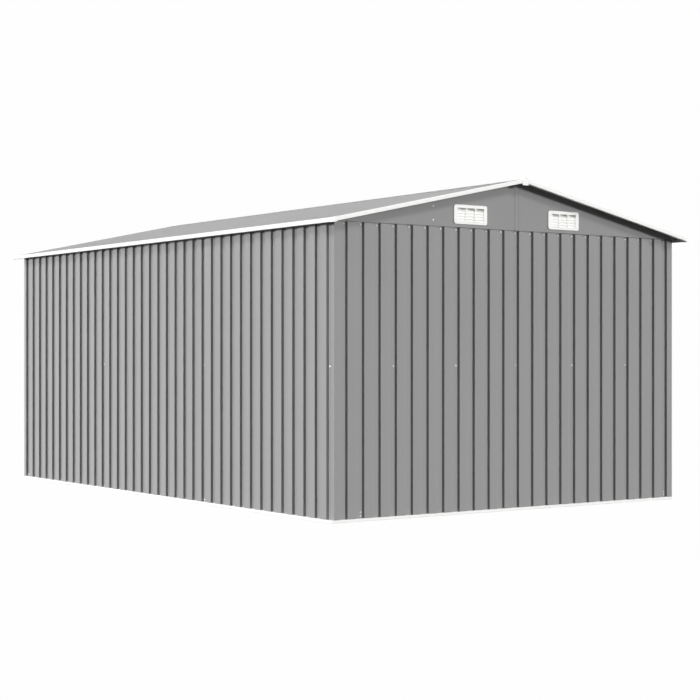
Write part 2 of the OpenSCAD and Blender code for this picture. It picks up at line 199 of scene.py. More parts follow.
class FinishSettings(bpy.types.PropertyGroup):
    """Colours of the finishes."""

    wall_grey: colour_property("Wall grey", "Coating of the wall sheets", "#8e8e8e")
    gable_grey: colour_property("Gable grey", "Coating of the gable panels", "#8a8a8a")
    roof_grey: colour_property("Roof grey", "Coating of the roof sheets", "#949494")
    white: colour_property("Trim white", "Coating of the rails and trims", "#f1f1ef")
    plastic: colour_property("Plastic white", "Moulded vents and caps", "#f6f6f4")
    zinc_dark: colour_property("Dark zinc", "Darkest crystals of the galvanised beams", "#9ca0a3")
    zinc_light: colour_property("Light zinc", "Lightest crystals of the galvanised beams", "#b9bdbf")
    screw: colour_property("Screw zinc", "Plating of the screws", "#dcdee0")


class StageSettings(bpy.types.PropertyGroup):
    """The camera, the lights and the floor."""

    lens: bpy.props.FloatProperty(name="Lens", description="Focal length in millimetres", default=83.39)
    turn: bpy.props.FloatProperty(name="Camera turn", default=math.radians(34.87),
                                  subtype="ANGLE", unit="ROTATION",
                                  description="Turn of the view from straight along Y")
    place: bpy.props.FloatVectorProperty(name="Camera place", default=(-5.8947, -8.6188, 0.852),
                                         subtype="TRANSLATION", unit="LENGTH",
                                         description="Where the camera stands")
    shift: bpy.props.FloatVectorProperty(name="Camera shift", default=(0.0197, 0.0074), size=2,
                                         description="Shift of the view, in frames")
    paper: bpy.props.FloatProperty(name="Backdrop", description="Brightness of the floor and backdrop",
                                   default=0.99)
    floor: length_property("Floor", "From the middle of the floor to its edges", 60)


# ---- Shapes ----


# The most of a leg that one bend takes up
LEG_SHARE = 0.45


def rounded(points, radius, side, thickness, steps=3):
    """Turns each bend of an open line into an arc. The corner moves back along both legs by
    radius * tan(turn / 2), and the arc turns evenly from one leg to the other. The radius is that
    of the bend's inner face. A bend towards the sheet's thickness, on the given side, has the line
    as its outer face, so there the thickness is added."""
    p = np.asarray(points, float)
    leg = np.diff(p, axis=0)
    run = np.linalg.norm(leg, axis=1)
    leg = leg / run[:, None]
    a, b = leg[:-1], leg[1:]
    turn = np.arctan2(a[:, 0] * b[:, 1] - a[:, 1] * b[:, 0], (a * b).sum(1))
    half = np.tan(np.abs(turn) / 2)
    arc = radius + thickness * (np.sign(turn) == side)
    cut = np.minimum(arc * half, LEG_SHARE * np.minimum(run[:-1], run[1:]))
    arc = cut / half
    inward = np.stack([-a[:, 1], a[:, 0]], 1) * np.sign(turn)[:, None]
    centre = p[1:-1] - a * cut[:, None] + inward * arc[:, None]
    angle = turn[:, None] * np.linspace(0, 1, steps + 1)
    c, s = np.cos(angle), np.sin(angle)
    v = -inward * arc[:, None]
    arcs = np.stack([centre[:, None, 0] + c * v[:, None, 0] - s * v[:, None, 1],
                     centre[:, None, 1] + s * v[:, None, 0] + c * v[:, None, 1]], 2)
    return np.concatenate([p[:1], arcs.reshape(-1, 2), p[-1:]])


def offset(line, distance):
    """The line moved sideways by a distance, to the left when it is positive: each point moves
    along the sum of its two legs' normals, scaled so that both legs move by the distance."""
    leg = np.diff(line, axis=0)
    leg = leg / np.linalg.norm(leg, axis=1)[:, None]
    normal = np.stack([-leg[:, 1], leg[:, 0]], 1)
    a = np.concatenate([normal[:1], normal])
    b = np.concatenate([normal, normal[-1:]])
    return line + distance * (a + b) / (1 + (a * b).sum(1))[:, None]


def closed_faces(rows, columns):
    """The four-sided faces of a closed shell whose points are numbered as two grids of rows and
    columns, the front one first: the front, the back and the four strips between their edges."""
    number = np.arange(2 * rows * columns).reshape(2, rows, columns)

    def skin(g):
        return np.stack([g[:-1, :-1], g[1:, :-1], g[1:, 1:], g[:-1, 1:]], -1).reshape(-1, 4)

    return np.concatenate([skin(number[0]), skin(number[1])[:, ::-1],
                           skin(number[:, :, -1]), skin(number[:, :, 0])[:, ::-1],
                           skin(number[:, 0, :]), skin(number[:, -1, :])[:, ::-1]])


def carried(line, thickness, runs, place):
    """A folded sheet: a line and its copy one thickness to its left, both carried along the runs.
    place turns (across, over, along) into X, Y and Z. Returns vertices and four-sided faces."""
    both = np.stack([line, offset(line, thickness)])
    u, v, w = np.broadcast_arrays(both[:, :, None, 0], both[:, :, None, 1], np.asarray(runs)[None, None, :])
    verts = np.stack(np.broadcast_arrays(*place(u, v, w)), -1).reshape(-1, 3)
    return verts, closed_faces(len(line), len(runs))


def outward(verts, faces):
    """Turns the faces round when the volume that they enclose comes out negative."""
    a, b, c, d = (verts[faces[:, i]] for i in range(4))
    volume = (a * (np.cross(b, c) + np.cross(c, d))).sum()
    return faces if volume > 0 else faces[:, ::-1]


def joined(shapes):
    """Several (vertices, faces) as one."""
    first = np.cumsum([0] + [len(v) for v, f in shapes[:-1]])
    return (np.concatenate([v for v, f in shapes]),
            np.concatenate([f + k for (v, f), k in zip(shapes, first)]))


def make_piece(name, shapes, slot, nodes=(), finish=None, crease=28):
    """A piece of the shed from (vertices, faces) shapes, smooth over bends under the crease angle,
    in the finish of its slot or one of its own."""
    verts, faces = joined([(v, outward(v, f)) for v, f in shapes])
    mesh = bpy.data.meshes.new(name)
    mesh.vertices.add(len(verts))
    mesh.vertices.foreach_set("co", verts.astype(np.float32).ravel())
    mesh.loops.add(faces.size)
    mesh.loops.foreach_set("vertex_index", faces.astype(np.int32).ravel())
    mesh.polygons.add(len(faces))
    mesh.polygons.foreach_set("loop_start", np.arange(len(faces), dtype=np.int32) * 4)
    mesh.polygons.foreach_set("loop_total", np.full(len(faces), 4, np.int32))
    mesh.update(calc_edges=True)
    mesh.shade_smooth()
    mesh.set_sharp_from_angle(angle=math.radians(crease))
    mesh.validate()
    piece = bpy.data.objects.new(name, mesh)
    bpy.context.scene.collection.objects.link(piece)
    even = piece.modifiers.new("flats stay flat", "WEIGHTED_NORMAL")
    even.keep_sharp = True
    mesh.materials.append(MATERIALS[finish or slot])
    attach(piece, "root")
    if nodes:
        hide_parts(*nodes)


def turned(place):
    """The same place after a half turn about Z."""
    def back(u, v, w):
        x, y, z = place(u, v, w)
        return -x, -y, z
    return back


def mirrored(place):
    """The same place with left and right exchanged."""
    def other(u, v, w):
        x, y, z = place(u, v, w)
        return -x, y, z
    return other


def on_gable(u, v, w):
    """Along the plain gable from its left corner, back from its face, and up."""
    return u - HALF_W, v - HALF_L, w


def on_left(u, v, w):
    """Along the left wall from the plain gable, back from its face, and up."""
    return v - HALF_W, u - HALF_L, w


def in_plan(u, v, w):
    """X, Y and up."""
    return u, v, w


# ---- Finishes ----


def linear(colour):
    """An sRGB hex colour as linear red, green, blue and alpha."""
    c = np.array([int(colour[i:i + 2], 16) for i in (1, 3, 5)]) / 255
    c = np.where(c <= 0.04045, c / 12.92, ((c + 0.055) / 1.055) ** 2.4)
    return (*c.tolist(), 1.0)


def add(tree, kind, settings=None, values=None, links=None):
    """Adds a node with its settings, its input values and its links, by an input's name or place."""
    node = tree.nodes.new(kind)
    for key, value in (settings or {}).items():
        setattr(node, key, value)
    for key, value in (values or {}).items():
        node.inputs[key].default_value = value
    for key, socket in (links or {}).items():
        tree.links.new(socket, node.inputs[key])
    return node


def new_material(name):
    """An empty material with its output and principled shader."""
    material = bpy.data.materials.new(name)
    material.use_nodes = True
    tree = material.node_tree
    tree.nodes.clear()
    output = add(tree, "ShaderNodeOutputMaterial")
    shader = add(tree, "ShaderNodeBsdfPrincipled")
    tree.links.new(shader.outputs["BSDF"], output.inputs["Surface"])
    return material, tree, shader


def per_metre(millimetres):
    """The scale of a pattern whose features are that many millimetres across."""
    return 1000 / millimetres


# A Mix node's two colours and its colour result, by their places on the node
MIX_FIRST, MIX_SECOND, MIX_RESULT = 6, 7, 2


def coated_steel(name, colour, roughness, variation):
    """Coil-coated steel: a baked polyester film rolled on before folding. It gives an even, low
    sheen with a faint grain, and a slow drift in tone over some 420 mm where dust and handling
    dull it. The grain, under a millimetre on the real film, is drawn at 3 mm so that it shows."""
    material, tree, shader = new_material(name)
    where = add(tree, "ShaderNodeTexCoord").outputs["Object"]
    drift = add(tree, "ShaderNodeTexNoise", {"noise_dimensions": "3D"},
                {"Scale": per_metre(420), "Detail": 3.0, "Roughness": 0.55}, {"Vector": where})
    fine = add(tree, "ShaderNodeTexNoise", {}, {"Scale": per_metre(3), "Detail": 2.0}, {"Vector": where})
    base = linear(colour)
    dark = tuple(c * (1 - variation) for c in base[:3]) + (1.0,)
    light = tuple(min(c * (1 + variation), 1.0) for c in base[:3]) + (1.0,)
    tone = add(tree, "ShaderNodeMapRange", {}, {"From Min": 0.3, "From Max": 0.7},
               {"Value": drift.outputs["Fac"]})
    mix = add(tree, "ShaderNodeMix", {"data_type": "RGBA"}, {MIX_FIRST: dark, MIX_SECOND: light},
              {"Factor": tone.outputs["Result"]})
    tree.links.new(mix.outputs[MIX_RESULT], shader.inputs["Base Color"])
    dull = add(tree, "ShaderNodeMapRange", {}, {"To Min": roughness - 0.04, "To Max": roughness + 0.04},
               {"Value": fine.outputs["Fac"]})
    tree.links.new(dull.outputs["Result"], shader.inputs["Roughness"])
    bump = add(tree, "ShaderNodeBump", {}, {"Strength": 0.08, "Distance": 0.0002},
               {"Height": fine.outputs["Fac"]})
    tree.links.new(bump.outputs["Normal"], shader.inputs["Normal"])
    shader.inputs["IOR"].default_value = 1.5
    return material


def moulded_plastic(name, colour):
    """Injection-moulded polypropylene: white with a spark-eroded grain and a soft sheen. The real
    grain is finer than the 2.5 mm at which it is drawn so that it shows."""
    material, tree, shader = new_material(name)
    where = add(tree, "ShaderNodeTexCoord").outputs["Object"]
    grain = add(tree, "ShaderNodeTexNoise", {}, {"Scale": per_metre(2.5), "Detail": 3.0}, {"Vector": where})
    base = linear(colour)
    dark = tuple(c * 0.97 for c in base[:3]) + (1.0,)
    mix = add(tree, "ShaderNodeMix", {"data_type": "RGBA"}, {MIX_FIRST: dark, MIX_SECOND: base},
              {"Factor": grain.outputs["Fac"]})
    tree.links.new(mix.outputs[MIX_RESULT], shader.inputs["Base Color"])
    bump = add(tree, "ShaderNodeBump", {}, {"Strength": 0.1, "Distance": 0.0002},
               {"Height": grain.outputs["Fac"]})
    tree.links.new(bump.outputs["Normal"], shader.inputs["Normal"])
    shader.inputs["Roughness"].default_value = 0.45
    shader.inputs["IOR"].default_value = 1.49
    return material


def galvanised_steel(name, dark, light):
    """Hot-dip galvanised steel: zinc crystals about 14 mm across, each a slightly different grey
    and dullness, with a bare metal sheen."""
    material, tree, shader = new_material(name)
    where = add(tree, "ShaderNodeTexCoord").outputs["Object"]
    spangle = add(tree, "ShaderNodeTexVoronoi", {"feature": "F1"}, {"Scale": per_metre(14)},
                  {"Vector": where})
    tone = add(tree, "ShaderNodeSeparateColor", {}, {}, {"Color": spangle.outputs["Color"]}).outputs["Red"]
    mix = add(tree, "ShaderNodeMix", {"data_type": "RGBA"},
              {MIX_FIRST: linear(dark), MIX_SECOND: linear(light)}, {"Factor": tone})
    tree.links.new(mix.outputs[MIX_RESULT], shader.inputs["Base Color"])
    dull = add(tree, "ShaderNodeMapRange", {}, {"To Min": 0.32, "To Max": 0.5}, {"Value": tone})
    tree.links.new(dull.outputs["Result"], shader.inputs["Roughness"])
    shader.inputs["Metallic"].default_value = 1.0
    return material


def zinc_plate(name, colour):
    """Zinc plating on the self-tapping screws: thin, mottled over a few millimetres and dulled
    by weather."""
    material, tree, shader = new_material(name)
    where = add(tree, "ShaderNodeTexCoord").outputs["Object"]
    mottle = add(tree, "ShaderNodeTexNoise", {}, {"Scale": per_metre(3), "Detail": 3.0}, {"Vector": where})
    dull = add(tree, "ShaderNodeMapRange", {}, {"To Min": 0.42, "To Max": 0.6},
               {"Value": mottle.outputs["Fac"]})
    tree.links.new(dull.outputs["Result"], shader.inputs["Roughness"])
    shader.inputs["Base Color"].default_value = linear(colour)
    shader.inputs["Metallic"].default_value = 1.0
    return material


MATERIALS = {}


def make_materials():
    """Every finish of the shed, by the record's slot, and the screws' own."""
    f = bpy.context.scene.shed_finish
    for slot, name, colour, roughness, variation in (
            ("grey_wall_sheet", "polyester_coated_wall_steel", f.wall_grey, 0.31, 0.015),
            ("grey_gable_sheet", "polyester_coated_gable_steel", f.gable_grey, 0.5, 0.015),
            ("grey_roof_sheet", "polyester_coated_roof_steel", f.roof_grey, 0.5, 0.015),
            ("white_trim", "white_polyester_coated_steel", f.white, 0.4, 0.01)):
        MATERIALS[slot] = coated_steel(name, colour, roughness, variation)
    MATERIALS["white_plastic"] = moulded_plastic("moulded_white_polypropylene", f.plastic)
    MATERIALS["zinc_steel"] = galvanised_steel("galvanised_rolled_steel", f.zinc_dark, f.zinc_light)
    MATERIALS["screw"] = zinc_plate("zinc_plated_screws", f.screw)


def finish_nodes(*names):
    """Gives frame nodes that keep their own shape the finish of their slot."""
    slots = {part["node"]: part["material_slot"] for part in frame["record"]["subparts"]}
    for name in names:
        mesh = frame["nodes"][name].data
        mesh.materials.clear()
        mesh.materials.append(MATERIALS[slots[name]])


# ---- Wall lines ----


def wall_rib(start, s):
    """One rib as four points: from the valley out to the face, along it and back."""
    h = s.flank / 2
    return [[start - h, s.depth], [start + h, 0], [start + s.rib - h, 0], [start + s.rib + h, s.depth]]


def valley_width(s):
    """The valley between two ribs, measured between the middles of their flanks."""
    return s.pitch - s.rib


def first_gable_rib(s):
    """Where the gable's first rib starts, past the corner's face and one valley."""
    return s.depth + s.corner + valley_width(s)


def rib_run(begin, finish, first, s):
    """A wall sheet's line between two valley middles, with its ribs on the wall's pitch. Its far
    edge steps out by a little over one thickness and laps over the next sheet."""
    valley = valley_width(s)
    j0 = round((begin + valley / 2 - first) / s.pitch)
    j1 = round((finish - valley / 2 - s.rib - first) / s.pitch)
    line = [[begin, s.depth]]
    for j in range(j0, j1 + 1):
        line += wall_rib(first + j * s.pitch, s)
    step = s.depth - s.lap_step * s.sheet
    return line + [[finish - s.lap / 4, s.depth], [finish, step], [finish + s.lap, step]]


def sheet_shape(line, place, s):
    """A wall sheet from the base rail up to the joint, with its thickness to the line's left."""
    return carried(rounded(line, s.bend, 1, s.sheet), s.sheet, [WALL_LOW, WALL_TOP - s.reveal], place)


class SHED_OT_wall_sheets(bpy.types.Operator):
    """Builds the ribbed wall sheets and the corner panels"""

    bl_idname = "shed.wall_sheets"
    bl_label = "Wall sheets"

    def execute(self, context):
        s = context.scene.shed_walls
        gable_first, side_first = first_gable_rib(s), valley_width(s)

        def sheet(node, begin, finish, first, place):
            shape = sheet_shape(rib_run(begin, finish, first, s), place, s)
            make_piece("ribbed_" + node, [shape], "grey_wall_sheet", [node])

        for k in (1, 2, 3):
            a, b = low(f"left_wall_sheet_{k}")[1] + HALF_L, high(f"left_wall_sheet_{k}")[1] + HALF_L
            sheet(f"left_wall_sheet_{k}", a, b, side_first, on_left)
            a, b = HALF_L - high(f"right_wall_sheet_{k}")[1], HALF_L - low(f"right_wall_sheet_{k}")[1]
            sheet(f"right_wall_sheet_{k}", a, b, side_first, turned(on_left))
        for side in ("left", "right"):
            node = f"front_wall_sheet_{side}"
            sheet(node, low(node)[0] + HALF_W, high(node)[0] + HALF_W, gable_first, on_gable)
            node = f"back_wall_sheet_{side}"
            sheet(node, HALF_W - high(node)[0], HALF_W - low(node)[0], gable_first, turned(on_gable))
        for end, corner, place in (("front_left", recessed_corner, in_plan),
                                   ("back_right", recessed_corner, turned(in_plan)),
                                   ("front_right", square_corner, in_plan),
                                   ("back_left", square_corner, turned(in_plan))):
            node = f"corner_panel_{end}"
            shape = sheet_shape(corner(s), place, s)
            make_piece("folded_" + node, [shape], "grey_wall_sheet", [node])
        return {"FINISHED"}


def recessed_corner(s):
    """The corner panel where the side wall's valley meets the gable's face, in X and Y."""
    valley = valley_width(s)
    fold = s.depth + s.corner
    side = [[valley + s.rib + valley / 2, s.depth]] + wall_rib(valley, s)[::-1] + [[0, s.depth]]
    gable = [[fold - s.flank / 2, 0], [fold + s.flank / 2, s.depth], [fold + valley / 2, s.depth]]
    return [[v - HALF_W, u - HALF_L] for u, v in side] + [[u - HALF_W, v - HALF_L] for u, v in gable]


def square_corner(s):
    """The corner panel where two rib faces meet, in X and Y."""
    first, valley = first_gable_rib(s), valley_width(s)
    last_gable = first + s.pitch * math.floor((2 * HALF_W - first - s.end_face) / s.pitch)
    last_side = valley + s.pitch * math.floor((2 * HALF_L - valley - s.end_face) / s.pitch)
    gable = [[last_gable - valley / 2, s.depth]] + wall_rib(last_gable, s)[:2] + [[2 * HALF_W, 0]]
    side = wall_rib(last_side, s)[1::-1] + [[last_side - valley / 2, s.depth]]
    return [[u - HALF_W, v - HALF_L] for u, v in gable] + [[HALF_W - v, HALF_L - u] for u, v in side]


class SHED_OT_base_rails(bpy.types.Operator):
    """Builds the base rails, mitred at the corners"""

    bl_idname = "shed.base_rails"
    bl_label = "Base rails"

    def execute(self, context):
        s = context.scene.shed_walls
        depth = high("base_rail_front")[1] + HALF_L
        back = s.depth + s.sheet
        channel = [[depth, 0], [0, 0], [0, WALL_LOW], [back, WALL_LOW]]
        flanged = channel + [[back, WALL_LOW + s.flange]]
        door_low, door_high = -high("door_frame")[0], -low("door_frame")[0]

        def rail(line, begin, finish, half, across):
            def place(u, v, w):
                along = np.clip(w, u - half, half - u)
                return (along, u - HALF_L, v) if across else (u - HALF_W, along, v)
            return line, place, [begin, finish]

        for node, parts, turn in (
                ("base_rail_front", [rail(flanged, -HALF_W, HALF_W, HALF_W, True)], False),
                ("base_rail_back", [rail(flanged, -HALF_W, door_low, HALF_W, True),
                                    rail(channel, door_low, door_high, HALF_W, True),
                                    rail(flanged, door_high, HALF_W, HALF_W, True)], True),
                ("base_rail_left", [rail(flanged, -HALF_L, HALF_L, HALF_L, False)], False),
                ("base_rail_right", [rail(flanged, -HALF_L, HALF_L, HALF_L, False)], True)):
            shapes = [carried(rounded(line, s.bend, -1, s.rail), -s.rail, runs,
                              turned(place) if turn else place) for line, place, runs in parts]
            make_piece("mitred_" + node, shapes, "white_trim", [node])
        return {"FINISHED"}


class SHED_OT_gable_panels(bpy.types.Operator):
    """Finishes the flat gable panels and adds the bead pressed beside their lap"""

    bl_idname = "shed.gable_panels"
    bl_label = "Gable panels"

    def execute(self, context):
        finish_nodes(*[f"gable_panel_{end}_{side}"
                       for end in ("front", "back") for side in ("left", "right")])
        s, slope = context.scene.shed_walls, context.scene.shed_roof.pitch
        begin = high("gable_panel_front_left")[0] + HALF_W
        face = -s.sheet
        line = np.array([[begin, face + s.sheet / 2], [begin, face],
                         [begin + s.seam / 4, face - s.seam / 2],
                         [begin + s.seam * 3 / 4, face - s.seam / 2], [begin + s.seam, face],
                         [begin + s.seam, face + s.sheet / 2]])
        top = high("gable_panel_front_left")[2] - math.tan(slope) * (begin - HALF_W)
        for end, place in (("front", on_gable), ("back", turned(on_gable))):
            shape = carried(line, s.sheet / 4, [WALL_TOP, top - s.sheet], place)
            make_piece(f"pressed_seam_{end}", [shape], "grey_gable_sheet")
        return {"FINISHED"}


# ---- Vents ----


# Heights in a louvre's row, in shares of it: its lip's foot and edge, the slot's two ends and the
# next lip. The topmost row has its own, and the last line is the drop at each, in recess depths.
LOUVRE = np.array([0.02, 0.10, 0.72, 0.93, 0.97])
TOP_LOUVRE = np.array([0.02, 0.10, 0.66, 0.95, 0.985])
LOUVRE_DROP = np.array([0.0, 0.14, 1.0, 1.0, 0.0])
# Steps along the frame's rounded corners, in shares of their radius
CORNER_STEPS = np.array([0, 0.08, 0.3, 0.6, 1.0])
# The slope at a louvre's ends, in shares of a bar
PANE_EASE = 0.6


def vent_shape(left, bottom, width, height, face, thickness, s):
    """A louvred vent as a height over a grid: the frame stands at its full thickness, and inside
    each opening the height falls back up every louvre's slope to a slot, then comes forward again
    to the next louvre's lip. The topmost slot is taller and deeper. The outline's corners are
    pulled in to arcs. The back lies on the wall, and where the front reaches deeper it stays a
    quarter of the recess behind it."""
    ease = s.bar * PANE_EASE
    pane = (width - 2 * s.side - (s.columns - 1) * s.bar) / s.columns
    starts = s.side + np.arange(s.columns) * (pane + s.bar)
    edges = np.stack([starts, starts + ease, starts + pane - ease, starts + pane], 1).ravel()
    arc = CORNER_STEPS * s.corner
    u = np.concatenate([arc, edges, width - arc[::-1]])
    inside = np.isin(np.round(u, 7), np.round(np.concatenate([starts + ease, starts + pane - ease]), 7))
    row = (height - s.head - s.foot) / s.rows
    lows = s.foot + np.arange(s.rows) * row
    drops = LOUVRE_DROP * s.recess
    at = lows[:, None] + LOUVRE * row
    drop = np.tile(drops, (s.rows, 1))
    at[-1] = lows[-1] + TOP_LOUVRE * row
    drop[-1] = drops * s.top_recess / s.recess
    drop[-1, 1] = drops[1]
    v = np.concatenate([arc, at.ravel(), height - arc[::-1]])
    over = thickness - np.outer(inside, np.concatenate([0 * arc, drop.ravel(), 0 * arc]))
    rim = np.minimum.outer(np.minimum(u, width - u), np.minimum(v, height - v))
    over = np.where(rim < 1e-6, thickness - s.rim, over)
    a, b = np.meshgrid(u, v, indexing="ij")
    x, z = corner_arcs(a, b, width, height, s.corner)
    rear = np.minimum(over - s.recess / 4, 0.0)
    verts = np.concatenate([np.stack([left + x, face - over, bottom + z], -1).reshape(-1, 3),
                            np.stack([left + x, face - rear, bottom + z], -1).reshape(-1, 3)])
    return verts, closed_faces(*x.shape)


def corner_arcs(a, b, width, height, radius):
    """Pulls the square corners of a grid in to arcs: within one radius of both edges, a point at
    (p, q) of the way out from the arc's centre goes to p * sqrt(1 - q * q / 2) and likewise for q."""
    ca, cb = np.clip(a, radius, width - radius), np.clip(b, radius, height - radius)
    p, q = (a - ca) / radius, (b - cb) / radius
    return ca + radius * p * np.sqrt(1 - q * q / 2), cb + radius * q * np.sqrt(1 - p * p / 2)


class SHED_OT_vents(bpy.types.Operator):
    """Builds the louvred vents of both gables"""

    bl_idname = "shed.vents"
    bl_label = "Gable vents"

    def execute(self, context):
        s = context.scene.shed_vents
        walls = context.scene.shed_walls
        a, b = low("front_vents"), high("front_vents")
        bottom, height = a[2], b[2] - a[2]
        thickness = -HALF_L - walls.sheet - a[1]
        for end, turn in (("front", 1), ("back", -1)):
            shapes = []
            for left, face in ((a[0], -HALF_L), (b[0] - s.width, -HALF_L - walls.sheet)):
                verts, faces = vent_shape(left, bottom, s.width, height, face, thickness, s)
                shapes.append((verts * np.array([turn, turn, 1]), faces))
            make_piece(f"louvred_{end}_vents", shapes, "white_plastic", [f"{end}_vents"], crease=40)
        return {"FINISHED"}


# ---- Roof ----


def rib_top(x, pitch):
    """Height of the plane that the roof ribs' tops lie in, at a distance x from the ridge."""
    r = bpy.context.scene.shed_roof
    return RIDGE_TOP - r.trim / math.cos(pitch) - np.tan(pitch) * np.abs(x)


def roof_rib_middles(r, walls):
    """Where the roof's ribs lie along Y: on the walls' pitch, evenly about the middle, as many as
    fit between the ends of the roof."""
    edge = high("roof_sheet_left_3")[1]
    count = math.floor((2 * edge - r.rib) / walls.pitch)
    return (np.arange(count + 1) - count / 2) * walls.pitch


class SHED_OT_roof_sheets(bpy.types.Operator):
    """Builds the ribbed roof sheets and the ridge cap"""

    bl_idname = "shed.roof_sheets"
    bl_label = "Roof sheets"

    def execute(self, context):
        r, walls = context.scene.shed_roof, context.scene.shed_walls
        slope = r.pitch
        foot_x = ROOF_HALF_W - r.trim
        foot_z = rib_top(foot_x, slope)
        middles = roof_rib_middles(r, walls)
        h = walls.flank / 2

        def on_slope(u, v, w):
            return (-foot_x + w * math.cos(slope) - v * math.sin(slope), u,
                    foot_z + w * math.sin(slope) + v * math.cos(slope))

        reach = (foot_x + high("roof_sheet_left_1")[0]) / math.cos(slope)
        for side, place in (("left", on_slope), ("right", mirrored(on_slope))):
            for i in (1, 2, 3):
                node = f"roof_sheet_{side}_{i}"
                a, b = low(node)[1], high(node)[1]
                line = [[a, 0]]
                for left, right in zip(middles[:-1], middles[1:]):
                    if left > a - r.spare and right < b + r.spare:
                        p, q = left + r.rib / 2, right - r.rib / 2
                        line += [[p - h, 0], [p + h, -r.depth], [q - h, -r.depth], [q + h, 0]]
                line += [[b, 0]]
                shape = carried(rounded(line, walls.bend, -1, walls.sheet), -walls.sheet, [0, reach], place)
                make_piece("ribbed_" + node, [shape], "grey_roof_sheet", [node])
        w = high("ridge_cap")[0]
        line = [[-w, rib_top(w, slope)], [0, rib_top(0, slope)], [w, rib_top(w, slope)]]
        ends = [low("ridge_cap")[1], high("ridge_cap")[1]]
        bent = rounded(line, r.ridge_bend, 1, r.trim, steps=6)
        shape = carried(bent, r.trim, ends, lambda u, v, w: (u, w, v))
        make_piece("folded_ridge_cap", [shape], "grey_roof_sheet", ["ridge_cap"])
        return {"FINISHED"}


class SHED_OT_roof_trims(bpy.types.Operator):
    """Builds the white channels along the eaves and the rakes"""

    bl_idname = "shed.roof_trims"
    bl_label = "Roof trims"

    def execute(self, context):
        r = context.scene.shed_roof
        slope = r.pitch
        rise = r.trim / math.cos(slope)
        x = ROOF_HALF_W
        height = high("rake_trim_front_left")[2] - low("rake_trim_front_left")[2] - math.tan(slope) * x
        top = rib_top(x, slope) + rise
        foot = top - height
        edge = high("eave_trim_left")[1]
        line = rounded([[r.lip - x, foot], [-x, foot], [-x, top],
                        [r.lip - x, top + math.tan(slope) * r.lip]], r.trim_bend, -1, r.trim)

        def along_eave(u, v, w):
            return u, w, v

        for side, place in (("left", along_eave), ("right", mirrored(along_eave))):
            make_piece(f"folded_eave_trim_{side}", [carried(line, -r.trim, [-edge, edge], place)],
                       "white_trim", [f"eave_trim_{side}"])

        y = ROOF_HALF_L
        section = [[r.lip - edge, rise - height], [-y, rise - height], [-y, rise], [r.lip - edge, rise]]
        plate = [[-y, rise - height], [-y, rise]]

        def along_rake(u, v, w):
            return w, u, rib_top(w, slope) + v

        channel = carried(rounded(section, r.trim_bend, -1, r.trim), -r.trim, [r.lip - x, 0], along_rake)
        face = carried(np.array(plate), -r.trim, [-x, r.lip - x], along_rake)
        for end, side, sx, sy in (("front", "left", 1, 1), ("front", "right", -1, 1),
                                  ("back", "left", 1, -1), ("back", "right", -1, -1)):
            scale = np.array([sx, sy, 1])
            shapes = [(v * scale, f) for v, f in (channel, face)]
            make_piece(f"folded_rake_trim_{end}_{side}", shapes, "white_trim",
                       [f"rake_trim_{end}_{side}"])
        return {"FINISHED"}


def eased_copy(node, name, width, crease=40):
    """A merged copy of a node's own mesh, with its edges over the crease angle rounded."""
    work = bmesh.new()
    work.from_mesh(frame["nodes"][node].data)
    bmesh.ops.remove_doubles(work, verts=work.verts, dist=1e-6)
    bmesh.ops.dissolve_limit(work, angle_limit=math.radians(1), verts=work.verts, edges=work.edges)
    mesh = bpy.data.meshes.new(name)
    work.to_mesh(mesh)
    work.free()
    mesh.shade_smooth()
    mesh.set_sharp_from_angle(angle=math.radians(crease))
    piece = bpy.data.objects.new(name, mesh)
    bpy.context.scene.collection.objects.link(piece)
    bevel = piece.modifiers.new("eased edges", "BEVEL")
    bevel.width = width
    bevel.segments = 2
    bevel.limit_method = "ANGLE"
    bevel.angle_limit = math.radians(crease)
    bevel.harden_normals = True
    return piece


class SHED_OT_caps(bpy.types.Operator):
    """Rounds the moulded caps on the roof's corners and peaks"""

    bl_idname = "shed.caps"
    bl_label = "Trim caps"

    def execute(self, context):
        piece = eased_copy("trim_caps", "moulded_trim_caps", context.scene.shed_roof.ease)
        piece.data.materials.clear()
        piece.data.materials.append(MATERIALS["white_plastic"])
        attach(piece, "root")
        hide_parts("trim_caps")
        return {"FINISHED"}


class SHED_OT_beams(bpy.types.Operator):
    """Finishes the rails and beams under the roof"""

    bl_idname = "shed.beams"
    bl_label = "Rails and beams"

    def execute(self, context):
        finish_nodes("eave_rails", "gable_rails", "purlins", "ridge_beam")
        return {"FINISHED"}


